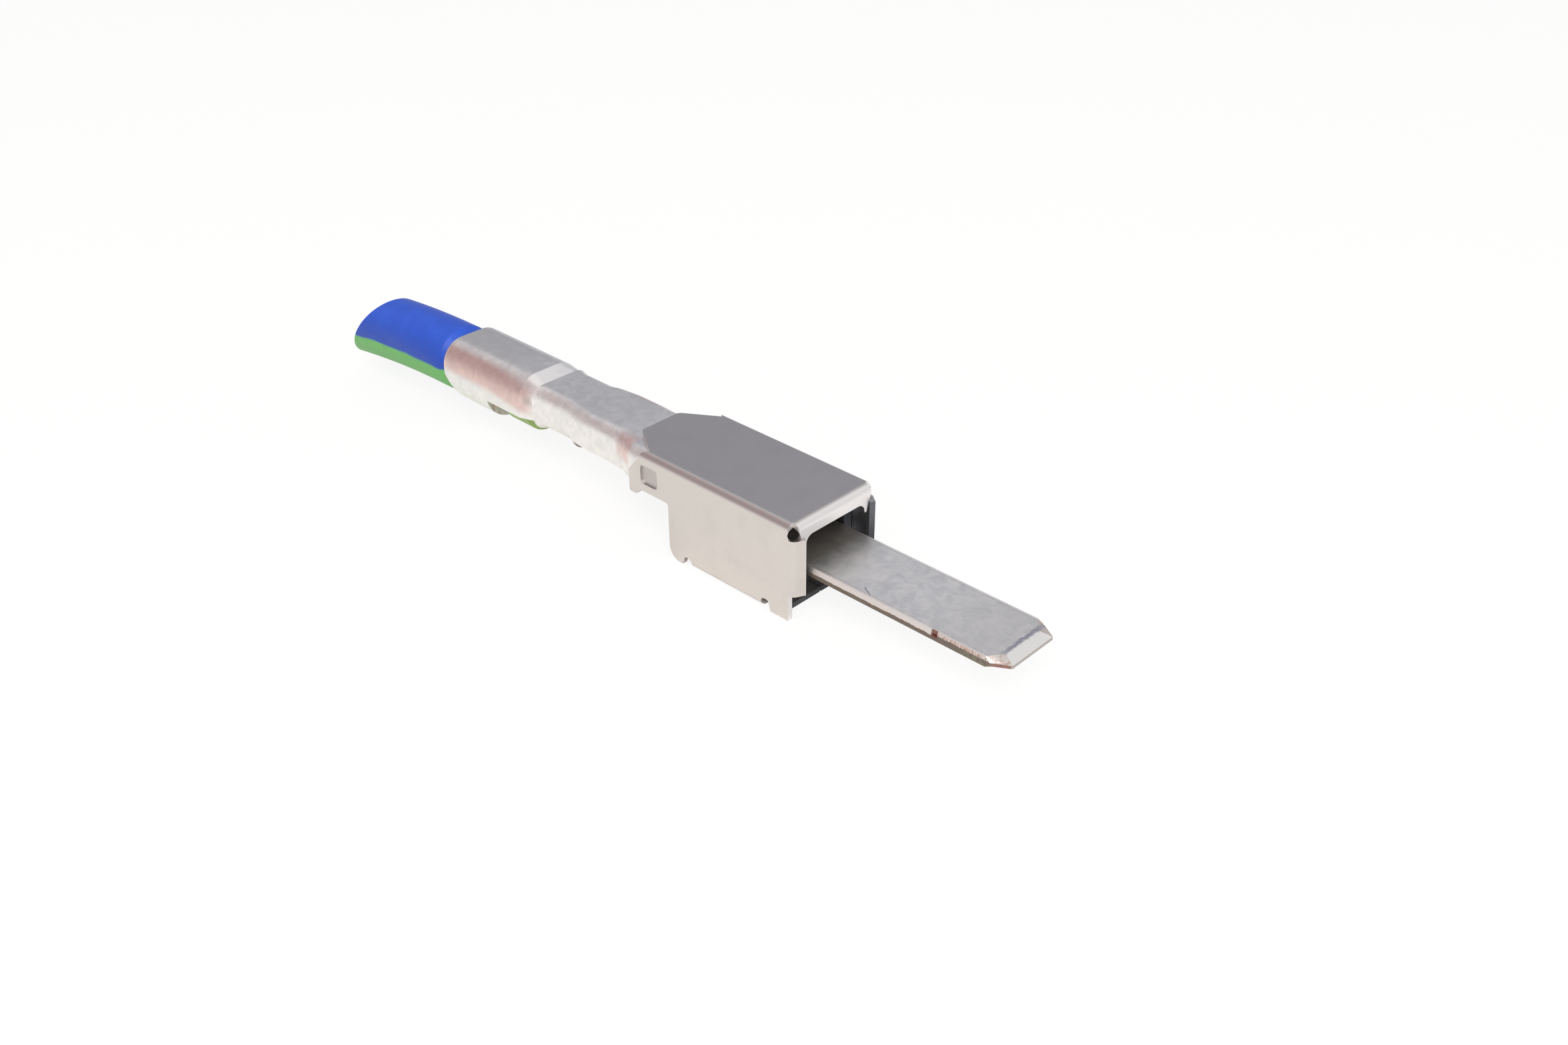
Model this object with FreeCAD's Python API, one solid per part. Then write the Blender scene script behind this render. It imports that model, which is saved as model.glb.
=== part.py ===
import FreeCAD, Part
import math
import os

# Male spade terminal with a box cover, crimped on a cut end of wire.
# Millimetres. +X is the mating direction, +Z is up, Y = 0 is the plane of symmetry.
# Origin: the middle of the cover's underside, in the plane of its front opening.

V = FreeCAD.Vector
TINY = 1e-6             # an edge shorter than this is left out
FLAT = 0.01             # half length of the flats left on a round section
LAP = 0.02              # overlap of two shapes joined into one solid

# Driving dimensions

# Fits
FIT_GAP = 0.02          # between the cover and the contact, and round the wire
SLIT = 0.04             # sheared slit between the tongue and the body's walls
OVER = 1.0              # how far a cutter runs past the metal

# Box cover: thin plated steel sheet
COVER_W = 4.1
COVER_H = 3.75
COVER_T = 0.2
COVER_BEND = 0.28       # outside radius of the long bends
COVER_BACK = 6.0        # depth of the side walls
NOSE_LEN = 8.5          # depth of the top plate with its nose
NOSE_HALF = 0.9         # half width of the nose's end
NOSE_START = 7.15       # where the nose starts to narrow
NOSE_ROUND = 0.25
WALL_CORNER = 0.55      # round at the rear lower corner of each wall

# Front of the cover: lip, flaps, fins and corner holes
LIP_DROP = 0.57         # lip's lower edge below the top face
LIP_HALF = 1.78         # half width of the lip at its bend
EAR_DROP = 0.95         # the lip's two ears below the top face
EAR_HALF = 1.56         # half width over the tips of the ears
EAR_W = 0.1
EAR_TIP_ROUND = 0.04
LIP_ROUND = 0.1         # round at the lip's ends
EAR_ROUND = 0.34        # round between an ear and the lip's edge
FLAP_SET = 0.25         # bend line of each flap behind the opening
FLAP_LEN = 0.33
NEAR_FLAP_ANGLE = 63.0  # degrees, turned in from the wall
FAR_FLAP_ANGLE = 36.0   # the far flap is bent less
FLAP_BOTTOM = 1.0
FLAP_DROP = 0.58        # flaps' upper edge below the top face
HOLE_R = 0.2            # relief hole punched where three bends meet
FIN_BACK = 1.05
FIN_SLOPE = 0.12        # lean of the fin's rear edge

# Underside of the cover
FLOOR_FRONT = 0.65
APRON_HALF = 1.55       # half width of the floor ahead of its bends
FLOOR_BEND_FRONT = 1.5
FLOOR_BACK = 4.9
SEAM = 0.06             # gap between the two halves of the floor
NOTCH_R = 0.14
NOTCH_H = 0.26
NOTCH_L = 0.31          # length of the rear notch at its top

# Straps that hold the cover on the neck
STRAP_BACK = 8.0
STRAP_TOP_BACK = 7.45
STRAP_H = 1.55          # straps' lower edge below the top face
TAB_H = 1.8
TAB_LEN = 0.34
STRAP_ROUND = 0.2
TAB_ROUND = 0.08
CREVICE_ROUND = 0.12    # round where the strap meets the wall's rear edge
CLINCH_L = 0.85
CLINCH_H = 0.75
CLINCH_D = 0.07
CLINCH_ROUND = 0.2
CLINCH_X = 6.95
CLINCH_DROP = 0.87      # middle of the pocket below the top face

# Contact: one piece of tinned copper alloy strip
STRIP_T = 0.4
STRIP_BEND = 0.25       # middle radius of the body's bends
BODY_BACK = 5.8         # depth at which the deep walls end
BODY_FRONT = 0.9
BODY_SIDE_H = 1.29      # height of the walls behind the deep part
TONGUE_ROOT = 4.3
TONGUE_END = 2.5
TONGUE_BEND = 0.5
TONGUE_SLANT = 0.3      # lean of the step against the tongue's ends

# Blade
BLADE_W = 2.8
BLADE_L = 8.12
BLADE_STEP = 1.51       # blade's top below the body's top
TIP_CORNER_L = 0.6
TIP_CORNER_W = 0.36
TIP_BEVEL_L = 0.4
TIP_FACE = 0.12         # height of the blunt front face
EDGE_ROLL = 0.035       # shear roll-over along the blade's sides
NICK_X = 5.25
NICK_L = 0.24
NICK_D = 0.06

# Neck and conductor crimp
NECK_WIDE = 11.0        # where the neck reaches its width
NECK_FRONT = 9.0
NECK_W = 2.9
NECK_H = 1.35
NECK_BEND = 0.3
SHOULDER_W = 3.05       # rounded shoulders at the neck's front
SHOULDER_BEND = 0.48
SHOULDER_L = 0.85       # length over which the shoulders widen to the body
CRIMP_FRONT = 11.95
CRIMP_BACK = 14.2
CRIMP_W = 2.5
CRIMP_H = 1.73
CRIMP_BEND = 0.34
LOBE_TIP = 0.62         # how far each wing curls up into the strands
WING_GAP = 0.06
BELL_L = 0.35           # flared mouth at the back of the crimp
BELL_OUT = 0.12

# Insulation crimp
SADDLE_FRONT = 14.9
BARREL_FRONT = 16.95
BARREL_BACK = 19.6
BARREL_W = 3.0
BARREL_RISE = 0.17      # barrel's top above the body's top
BARREL_H = 2.58
BARREL_TOP_BEND = 0.8
BARREL_LOW_BEND = 1.02
BARREL_SEAM = 0.14
SADDLE_H = 1.4          # height of the saddle's walls
WING_BACK = 18.75       # rear end of the wings at their lowest
WING_H = 1.3            # the wings slope back from this height over their lowest

# Wire
WIRE_D = 2.7
STRAND_D = 0.28
OUTER_STRANDS = 12      # round six and one
FLUTED_L = 1.6          # the cut end shows them one by one
WIRE_END = 25.9         # cut end of the wire, at its middle
WIRE_FRONT = 14.75      # front end of the insulation
WIRE_DROOP = 0.35       # how far the free end hangs
CUT_SLANT = 0.65        # the cut leans forward by this much per height
CUT_SKEW = 0.19         # and by this much across the wire
BARE_FRONT = 11.2       # strands stand out ahead of the crimp
BRUSH_ROWS = (6, 7, 6)  # strands in each row of that brush, from the roof down
BRUSH_SQUEEZE = 0.042   # its strands stand this much closer than their diameter
BRUSH_STEP = 0.06       # difference in length between its strands
MOUTH_LEAD = 0.1        # strands begin to spread this far behind the crimp
MOUTH_SIDE = 0.05       # and are this much narrower there
MOUTH_ROUND = 0.25      # their round at the mouth
PRESSED_ROUND = 0.1     # and in the crimp
SWELL_DROP = 0.07       # insulation in the open saddle bulges below the barrel
NOSE_TAPER = 0.2        # insulation's front end is drawn in by this much
SQUEEZE_L = 0.6         # insulation swells back to round over this length

# Worked out from the above

HALF = COVER_W / 2
INNER_HALF = HALF - COVER_T
BEND_Z = COVER_H - COVER_BEND
CONTACT_TOP = COVER_H - COVER_T - FIT_GAP
CONTACT_MID_Z = CONTACT_TOP - STRIP_T / 2
FLAP_TOP = COVER_H - FLAP_DROP
STRAP_BOTTOM = COVER_H - STRAP_H
TAB_BOTTOM = COVER_H - TAB_H
CLINCH_Z = COVER_H - CLINCH_DROP
BODY_SIDE_BOTTOM = CONTACT_TOP - BODY_SIDE_H
BODY_START = NECK_FRONT - SHOULDER_L
BLADE_TOP = CONTACT_TOP - BLADE_STEP
CRIMP_BOTTOM = CONTACT_TOP - CRIMP_H
BARREL_TOP = CONTACT_TOP + BARREL_RISE
BARREL_BOTTOM = BARREL_TOP - BARREL_H
SADDLE_BOTTOM = CONTACT_TOP - SADDLE_H
SWELL_BOTTOM = BARREL_BOTTOM - SWELL_DROP
BODY_MID_Y = INNER_HALF - FIT_GAP - STRIP_T / 2
CRIMP_MID_Y = (CRIMP_W - STRIP_T) / 2
BARREL_MID_Y = (BARREL_W - STRIP_T) / 2
BARREL_MID_TOP = BARREL_TOP - STRIP_T / 2
BARREL_MID_LOW = BARREL_BOTTOM + STRIP_T / 2
BLADE_MID_Z = BLADE_TOP - STRIP_T / 2
WIRE_Z = (BARREL_TOP + BARREL_BOTTOM) / 2 - FIT_GAP
CORE_D = 5 * STRAND_D
CORE_INNER = 4 * STRAND_D
RING_R = (CORE_D - STRAND_D) / 2
CURVE_START = BARREL_BACK + SQUEEZE_L
CURVE_R = (WIRE_END - CURVE_START) ** 2 / (2 * WIRE_DROOP)
CUT_RUN = WIRE_END - CURVE_START + (CUT_SLANT + CUT_SKEW) * WIRE_D / 2


# Helpers

def on_yz(x):
    return lambda u, v: V(x, u, v)


def on_xz(y):
    return lambda u, v: V(u, y, v)


def on_xy(z):
    return lambda u, v: V(u, v, z)


def sheet_wire(path, bends, thickness, place):
    """Closed outline of a folded sheet whose middle line follows path.

    bends holds the middle radius at each inner point of path.
    """
    points = [V(u, v, 0) for u, v in path]
    steps = [(b - a).normalize() for a, b in zip(points, points[1:])]
    normals = [V(-s.y, s.x, 0) for s in steps]

    def side(shift):
        edges = []
        here = points[0] + normals[0] * shift
        for i, radius in enumerate(bends):
            turn = math.atan2(steps[i].cross(steps[i + 1]).z, steps[i].dot(steps[i + 1]))
            sign = math.copysign(1.0, turn)
            corner = points[i + 1]
            run = radius * math.tan(abs(turn) / 2)
            centre = corner - steps[i] * run + normals[i] * (sign * radius)
            start = corner - steps[i] * run + normals[i] * shift
            end = corner + steps[i + 1] * run + normals[i + 1] * shift
            middle = centre + (corner - centre).normalize() * (radius - sign * shift)
            edges.append(("line", here, start))
            edges.append(("arc", start, middle, end))
            here = end
        edges.append(("line", here, points[-1] + normals[-1] * shift))
        return edges

    left = side(thickness / 2)
    right = [(e[0],) + tuple(reversed(e[1:])) for e in reversed(side(-thickness / 2))]
    cap = ("line", left[-1][-1], right[0][1])
    foot = ("line", right[-1][-1], left[0][1])
    edges = []
    for kind, *ends in left + [cap] + right + [foot]:
        at = [place(p.x, p.y) for p in ends]
        if kind == "arc":
            edges.append(Part.Arc(*at).toShape())
        elif (at[1] - at[0]).Length > TINY:
            edges.append(Part.makeLine(*at))
    return Part.Wire(edges)


def outline(points, place):
    """Closed polygon; a point with a third value is rounded by that radius."""
    count = len(points)
    flat = [V(p[0], p[1], 0) for p in points]
    radii = [p[2] if len(p) > 2 else 0.0 for p in points]
    ends = []
    arcs = []
    for i in range(count):
        before = (flat[i - 1] - flat[i]).normalize()
        after = (flat[(i + 1) % count] - flat[i]).normalize()
        half = before.getAngle(after) / 2
        run = radii[i] / math.tan(half) if radii[i] else 0.0
        start = flat[i] + before * run
        end = flat[i] + after * run
        if radii[i]:
            bisector = (before + after).normalize()
            middle = flat[i] + bisector * (radii[i] / math.sin(half) - radii[i])
            arcs.append((start, middle, end))
        else:
            arcs.append(None)
        ends.append((start, end))
    edges = []
    for i in range(count):
        if arcs[i]:
            edges.append(Part.Arc(*[place(p.x, p.y) for p in arcs[i]]).toShape())
        a = ends[i][1]
        b = ends[(i + 1) % count][0]
        if (a - b).Length > TINY:
            edges.append(Part.makeLine(place(a.x, a.y), place(b.x, b.y)))
    return Part.Wire(edges)


def prism(wire, direction):
    return Part.Face(wire).extrude(direction)


def block(x0, x1, y0, y1, z0, z1):
    return Part.makeBox(x1 - x0, y1 - y0, z1 - z0, V(x0, y0, z0))


def mirrored(shape):
    return shape.mirror(V(0, 0, 0), V(0, 1, 0))


def both_sides(shape):
    return [shape, mirrored(shape)]


def join(shapes):
    return shapes[0].fuse(shapes[1:]).removeSplitter()


def loft(*wires):
    return Part.makeLoft(list(wires), True, True)


# Box cover

def cover_top():
    """Top plate with both long bends, ended by the chamfered nose."""
    mid_bend = COVER_BEND - COVER_T / 2
    mid_y = HALF - COVER_T / 2
    mid_z = COVER_H - COVER_T / 2
    path = [(-mid_y, BEND_Z), (-mid_y, mid_z), (mid_y, mid_z), (mid_y, BEND_Z)]
    section = sheet_wire(path, [mid_bend, mid_bend], COVER_T, on_yz(-NOSE_LEN))
    plate = prism(section, V(NOSE_LEN - COVER_BEND, 0, 0))
    shoulder = HALF - COVER_BEND
    nose = [(0, -HALF - OVER), (-STRAP_TOP_BACK, -HALF - OVER), (-STRAP_TOP_BACK, -HALF)]
    nose += [(-NOSE_START, -shoulder), (-NOSE_LEN, -NOSE_HALF, NOSE_ROUND)]
    nose += [(-NOSE_LEN, NOSE_HALF, NOSE_ROUND), (-NOSE_START, shoulder)]
    nose += [(-STRAP_TOP_BACK, HALF), (-STRAP_TOP_BACK, HALF + OVER), (0, HALF + OVER)]
    return plate.common(prism(outline(nose, on_xy(0)), V(0, 0, COVER_H + OVER)))


def cover_wall():
    """Near side wall seen from the side, from the strap to the flap's bend."""
    notch = NOTCH_H + NOTCH_R
    bend_edge = COVER_BEND - 3 * LAP
    shoulder = (STRAP_BOTTOM + BEND_Z) / 2
    wall = [(-FLAP_SET, BEND_Z), (-STRAP_TOP_BACK, BEND_Z), (-STRAP_BACK, shoulder, STRAP_ROUND)]
    wall += [(-STRAP_BACK, TAB_BOTTOM, TAB_ROUND), (-STRAP_BACK + TAB_LEN, TAB_BOTTOM, TAB_ROUND)]
    wall += [(-STRAP_BACK + TAB_LEN + STRAP_BOTTOM - TAB_BOTTOM, STRAP_BOTTOM)]
    wall += [(-COVER_BACK, STRAP_BOTTOM, CREVICE_ROUND), (-COVER_BACK, 0, WALL_CORNER)]
    wall += [(-FLOOR_BACK - NOTCH_L - NOTCH_R, 0), (-FLOOR_BACK - NOTCH_L, notch, NOTCH_R)]
    wall += [(-FLOOR_BACK, NOTCH_H, NOTCH_R / 2), (-FLOOR_BACK, bend_edge)]
    wall += [(-FLOOR_BEND_FRONT, bend_edge), (-FLOOR_BEND_FRONT, notch, NOTCH_R)]
    wall += [(-FIN_BACK - FIN_SLOPE, notch, NOTCH_R), (-FIN_BACK, 0), (-FLAP_SET, 0, FLAT)]
    side = prism(outline(wall, on_xz(-HALF)), V(0, COVER_T, 0))
    return side.fuse(strap_tab()).cut(clinch())


def clinch():
    """Shallow pocket pressed into the near strap."""
    half_l = CLINCH_L / 2
    half_h = CLINCH_H / 2
    corners = [(-half_l, -half_h), (half_l, -half_h), (half_l, half_h), (-half_l, half_h)]
    pocket = [(u - CLINCH_X, v + CLINCH_Z, CLINCH_ROUND) for u, v in corners]
    return prism(outline(pocket, on_xz(-HALF - OVER)), V(0, OVER + CLINCH_D, 0))


def strap_tab():
    """Small tab of the strap, folded in under the neck's wall."""
    mid_y = HALF - COVER_T / 2
    reach = INNER_HALF - FIT_GAP - STRIP_T
    mid_z = TAB_BOTTOM + COVER_T / 2
    path = [(-mid_y, TAB_BOTTOM + COVER_BEND), (-mid_y, mid_z), (-reach, mid_z)]
    section = sheet_wire(path, [COVER_BEND - COVER_T / 2], COVER_T, on_yz(-STRAP_BACK + LAP))
    return prism(section, V(TAB_LEN - 2 * LAP, 0, 0))


def cover_floor():
    """Near half of the underside, folded in from the wall's lower edge."""
    mid_y = HALF - COVER_T / 2
    path = [(-mid_y, COVER_BEND), (-mid_y, COVER_T / 2), (-SEAM / 2, COVER_T / 2)]
    bend = [COVER_BEND - COVER_T / 2]
    section = sheet_wire(path, bend, COVER_T, on_yz(-FLOOR_BACK))
    folded = prism(section, V(FLOOR_BACK - FLOOR_BEND_FRONT, 0, 0))
    apron = [(-FLOOR_BEND_FRONT - LAP, -SEAM / 2), (-FLOOR_FRONT, -SEAM / 2)]
    apron += [(-FLOOR_FRONT, -APRON_HALF, CREVICE_ROUND), (-FLOOR_BEND_FRONT - LAP, -APRON_HALF)]
    return folded.fuse(prism(outline(apron, on_xy(0)), V(0, 0, COVER_T)))


def cover_lip():
    """Front edge of the top plate, bent down, with an arched lower edge and two ears."""
    mid_x = -COVER_T / 2
    mid_z = COVER_H - COVER_T / 2
    lowest = COVER_H - EAR_DROP
    path = [(-COVER_BEND, mid_z), (mid_x, mid_z), (mid_x, lowest)]
    section = sheet_wire(path, [COVER_BEND - COVER_T / 2], COVER_T, on_xz(-LIP_HALF))
    strip = prism(section, V(0, 2 * LIP_HALF, 0))
    edge = COVER_H - LIP_DROP
    inner = EAR_HALF - EAR_W
    half = [(inner, edge, EAR_ROUND), (inner, lowest, EAR_TIP_ROUND)]
    half += [(EAR_HALF, lowest, EAR_TIP_ROUND), (LIP_HALF, BEND_Z, LIP_ROUND)]
    half += [(LIP_HALF, COVER_H + OVER)]
    face = half + [(-point[0],) + point[1:] for point in reversed(half)]
    return strip.common(prism(outline(face, on_yz(-OVER)), V(2 * OVER, 0, 0)))


def cover_flap(degrees):
    """Near flap, turned in from the wall to guard the opening's side."""
    mid_y = HALF - COVER_T / 2
    angle = math.radians(degrees)
    bend = COVER_BEND - COVER_T / 2
    run = bend * math.tan(angle / 2)
    corner = (-FLAP_SET + run, -mid_y)
    reach = run + FLAP_LEN
    end = (corner[0] + reach * math.cos(angle), corner[1] + reach * math.sin(angle))
    path = [(-FLAP_SET, -mid_y), corner, end]
    section = sheet_wire(path, [bend], COVER_T, on_xy(FLAP_BOTTOM))
    return prism(section, V(0, 0, FLAP_TOP - FLAP_BOTTOM))


def corner_hole():
    """Relief hole through the near top front corner."""
    centre = V(-COVER_T / 2, -HALF + COVER_T / 2, FLAP_TOP + HOLE_R)
    along = V(1.0, -0.9, 0.35).normalize()
    return Part.makeCylinder(HOLE_R, 2 * OVER, centre - along * OVER, along)


def box_cover():
    flaps = [cover_flap(NEAR_FLAP_ANGLE), mirrored(cover_flap(FAR_FLAP_ANGLE))]
    sides = both_sides(cover_wall()) + both_sides(cover_floor())
    cover = join([cover_top(), cover_lip()] + sides + flaps)
    for hole in both_sides(corner_hole()):
        cover = cover.cut(hole)
    return cover


# Contact

def channel(x, mid_y, mid_top, bottom, bend):
    """Cross-section of an inverted channel of strip."""
    path = [(-mid_y, bottom), (-mid_y, mid_top), (mid_y, mid_top), (mid_y, bottom)]
    return sheet_wire(path, [bend, bend], STRIP_T, on_yz(x))


def body():
    """Channel inside the cover, with deep walls and a slit for the tongue."""
    floor = COVER_T + 2 * FIT_GAP
    deep = channel(-BODY_BACK, BODY_MID_Y, CONTACT_MID_Z, floor, STRIP_BEND)
    shallow = channel(-BODY_START, BODY_MID_Y, CONTACT_MID_Z, BODY_SIDE_BOTTOM, STRIP_BEND)
    walls = prism(deep, V(BODY_BACK - BODY_FRONT, 0, 0))
    neck = prism(shallow, V(BODY_START - BODY_BACK, 0, 0))
    half = BLADE_W / 2 + SLIT
    window = block(-TONGUE_ROOT, OVER, -half, half, BLADE_TOP, COVER_H)
    return walls.cut(window).fuse(neck)


def tongue():
    """Strip stepped down from the body's top to the blade's height."""
    path = [(-TONGUE_ROOT - LAP, CONTACT_MID_Z), (-TONGUE_ROOT + TONGUE_SLANT, CONTACT_MID_Z)]
    path += [(-TONGUE_END - TONGUE_SLANT, BLADE_MID_Z), (-TONGUE_END + TONGUE_BEND, BLADE_MID_Z)]
    section = sheet_wire(path, [TONGUE_BEND, TONGUE_BEND], STRIP_T, on_xz(-BLADE_W / 2))
    return prism(section, V(0, BLADE_W, 0))


def blade_outline(z, inset_tip, inset_side):
    """Plan of the blade at one height, pulled in at its tip and sides."""
    half = BLADE_W / 2 - inset_side
    tip = BLADE_L - inset_tip
    tip_half = BLADE_W / 2 - TIP_CORNER_W - inset_tip / 2
    back = -TONGUE_END + TONGUE_BEND - LAP
    shoulder = BLADE_L - TIP_CORNER_L - inset_tip / 2
    points = [(back, -half), (shoulder, -half), (tip, -tip_half)]
    points += [(tip, tip_half), (shoulder, half), (back, half)]
    return outline(points, on_xy(z))


def blade():
    """Flat tab with cut corners, bevelled all round its tip."""
    low = BLADE_TOP - STRIP_T
    face_low = BLADE_MID_Z - TIP_FACE / 2
    face_high = BLADE_MID_Z + TIP_FACE / 2
    faces = [
        blade_outline(low, TIP_BEVEL_L, EDGE_ROLL),
        blade_outline(face_low, 0, 0),
        blade_outline(face_high, 0, 0),
        blade_outline(BLADE_TOP, TIP_BEVEL_L, EDGE_ROLL),
    ]
    plate = join([loft(a, b) for a, b in zip(faces, faces[1:])])
    side = -BLADE_W / 2
    nick = block(NICK_X, NICK_X + NICK_L, side - OVER, side + NICK_D, BLADE_MID_Z, COVER_H)
    return plate.cut(nick)


def crimp_section(x, mid_y, low, bend, spread=0.0, gap=0.0):
    """Two wings rolled in from below until their tips stand between the strands."""
    side = mid_y + spread
    tip_y = (STRIP_T + WING_GAP) / 2
    mid_low = low + STRIP_T / 2 - spread
    lobe = (side - tip_y) / 2 - TINY
    tip_z = mid_low + lobe + LOBE_TIP + gap
    wing = [(-tip_y, tip_z), (-tip_y, mid_low), (-side, mid_low)]
    roof = [(-side, CONTACT_MID_Z), (side, CONTACT_MID_Z)]
    path = wing + roof + [(side, mid_low), (tip_y, mid_low), (tip_y, tip_z)]
    bends = [lobe, lobe, bend, bend, lobe, lobe]
    return sheet_wire(path, bends, STRIP_T + 2 * gap, on_yz(x))


def conductor_crimp():
    """Crimp with a flared mouth at each end."""
    spreads = [(CRIMP_BACK, BELL_OUT), (CRIMP_BACK - BELL_L, 0.0)]
    spreads += [(CRIMP_FRONT + BELL_L, 0.0), (CRIMP_FRONT, BELL_OUT)]
    wires = [crimp_section(-x, CRIMP_MID_Y, CRIMP_BOTTOM, CRIMP_BEND, out) for x, out in spreads]
    return [loft(a, b) for a, b in zip(wires, wires[1:])]


def neck():
    """Channel that widens from the crimp and ends in two rounded shoulders."""
    low = CONTACT_TOP - NECK_H
    neck_mid_y = (NECK_W - STRIP_T) / 2
    front_mid_y = (SHOULDER_W - STRIP_T) / 2
    wires = [
        channel(-CRIMP_FRONT, CRIMP_MID_Y + BELL_OUT, CONTACT_MID_Z, low, CRIMP_BEND),
        channel(-NECK_WIDE, neck_mid_y, CONTACT_MID_Z, low, NECK_BEND),
        channel(-NECK_FRONT - SHOULDER_L, neck_mid_y, CONTACT_MID_Z, low, NECK_BEND),
        channel(-NECK_FRONT, front_mid_y, CONTACT_MID_Z, low, SHOULDER_BEND),
        channel(-BODY_START, BODY_MID_Y, CONTACT_MID_Z, BODY_SIDE_BOTTOM, STRIP_BEND),
    ]
    return [loft(a, b) for a, b in zip(wires, wires[1:])]


def saddle():
    """Open strip between the two crimps, where the insulation shows."""
    bottom = SADDLE_BOTTOM
    front = channel(-CRIMP_BACK, CRIMP_MID_Y, CONTACT_MID_Z, bottom, CRIMP_BEND)
    middle = channel(-SADDLE_FRONT, BARREL_MID_Y, BARREL_MID_TOP, bottom, BARREL_TOP_BEND)
    back = channel(-BARREL_FRONT, BARREL_MID_Y, BARREL_MID_TOP, bottom, BARREL_TOP_BEND)
    return [loft(middle, front), loft(back, middle)]


def insulation_crimp():
    """Barrel whose two wings meet below the wire."""
    seam = BARREL_SEAM / 2
    path = [(-seam, BARREL_MID_LOW), (-BARREL_MID_Y, BARREL_MID_LOW), (-BARREL_MID_Y, BARREL_MID_TOP)]
    path += [(BARREL_MID_Y, BARREL_MID_TOP), (BARREL_MID_Y, BARREL_MID_LOW), (seam, BARREL_MID_LOW)]
    bends = [BARREL_LOW_BEND, BARREL_TOP_BEND, BARREL_TOP_BEND, BARREL_LOW_BEND]
    section = sheet_wire(path, bends, STRIP_T, on_yz(-BARREL_BACK))
    barrel = prism(section, V(BARREL_BACK - BARREL_FRONT, 0, 0))
    slope = [(-BARREL_BACK - OVER, BARREL_BOTTOM + WING_H), (-BARREL_BACK, BARREL_BOTTOM + WING_H)]
    slope += [(-WING_BACK, BARREL_BOTTOM), (-WING_BACK, BARREL_BOTTOM - OVER)]
    slope += [(-BARREL_BACK - OVER, BARREL_BOTTOM - OVER)]
    return barrel.cut(prism(outline(slope, on_xz(-BARREL_W)), V(0, 2 * BARREL_W, 0)))


def contact():
    parts = [body(), tongue(), blade(), insulation_crimp()]
    return join(parts + neck() + conductor_crimp() + saddle())


# Wire

def swept(face, begin, end):
    """Sweep of a section along the free end's slow curve, between two distances."""
    centre = V(-CURVE_START, 0, WIRE_Z - CURVE_R)
    first = math.degrees(begin / CURVE_R)
    placed = face.rotated(centre, V(0, -1, 0), first)
    return placed.revolve(centre, V(0, -1, 0), math.degrees(end / CURVE_R) - first)


def cut_off(shape):
    """Cut across the free end, leaning forward and aside."""
    middle = V(-WIRE_END, 0, WIRE_Z - WIRE_DROOP)
    outward = V(-1, CUT_SKEW, CUT_SLANT).normalize()
    disc = Part.Face(Part.Wire(Part.makeCircle(2 * WIRE_D, middle, outward)))
    return shape.cut(disc.extrude(outward * (2 * WIRE_D)))


def rounded(x, half_w, low, high, radius):
    points = [(-half_w, low, radius), (half_w, low, radius)]
    points += [(half_w, high, radius), (-half_w, high, radius)]
    return outline(points, on_yz(x))


def chain(stations):
    """Solids through rounded sections given as (x, half width, low, high, radius)."""
    wires = [rounded(*station) for station in stations]
    return [loft(a, b) for a, b in zip(wires, wires[1:])]


def wire_insulation():
    """Round outside the crimp, squared by the barrel, swollen again in the open saddle."""
    round_r = WIRE_D / 2
    half_w = BARREL_W / 2 - STRIP_T - FIT_GAP
    low = BARREL_BOTTOM + STRIP_T + FIT_GAP
    high = BARREL_TOP - STRIP_T - FIT_GAP
    barrel_r = (high - low) / 2 - FLAT
    clear = -WING_BACK - (BARREL_BACK - WING_BACK) * (low - BARREL_BOTTOM) / WING_H
    stations = [
        (-CURVE_START, round_r, WIRE_Z - round_r, WIRE_Z + round_r, round_r - FLAT),
        (-BARREL_BACK, half_w, SWELL_BOTTOM, high, half_w - FLAT),
        ((clear - BARREL_BACK) / 2, half_w, low - SWELL_DROP, high, barrel_r + SWELL_DROP / 2),
        (clear, half_w, low, high, barrel_r),
        (-BARREL_FRONT, half_w, low, high, barrel_r),
        (-BARREL_FRONT + SQUEEZE_L, half_w, SWELL_BOTTOM, high, half_w - FLAT),
        (-WIRE_FRONT - SQUEEZE_L / 2, half_w, SWELL_BOTTOM, high, half_w - FLAT),
        (-WIRE_FRONT, half_w - NOSE_TAPER, low, high - NOSE_TAPER, barrel_r - NOSE_TAPER / 2),
    ]
    disc = Part.Face(rounded(*stations[0]))
    jacket = join([swept(disc, 0, CUT_RUN)] + chain(stations))
    hole = core_disc(CORE_D / 2 + FIT_GAP)
    bore = swept(hole, 0, CUT_RUN).fuse(hole.extrude(V(CURVE_START, 0, 0)))
    return cut_off(jacket.cut(bore))


def core_disc(radius):
    section = rounded(-CURVE_START, radius, WIRE_Z - radius, WIRE_Z + radius, radius - FLAT)
    return Part.Face(section)


def strand(x, y, z, length):
    return Part.makeCylinder(STRAND_D / 2, length, V(x, y, z), V(1, 0, 0))


def fluted_core():
    """Section of the bare strands: a disc edged by the outer twelve."""
    section = core_disc(CORE_INNER / 2)
    for i in range(OUTER_STRANDS):
        turn = 2 * math.pi * i / OUTER_STRANDS
        centre = V(-CURVE_START, RING_R * math.cos(turn), WIRE_Z + RING_R * math.sin(turn))
        section = section.fuse(Part.Face(Part.Wire(Part.makeCircle(STRAND_D / 2, centre, V(1, 0, 0)))))
    return section.removeSplitter().Faces[0]


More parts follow.
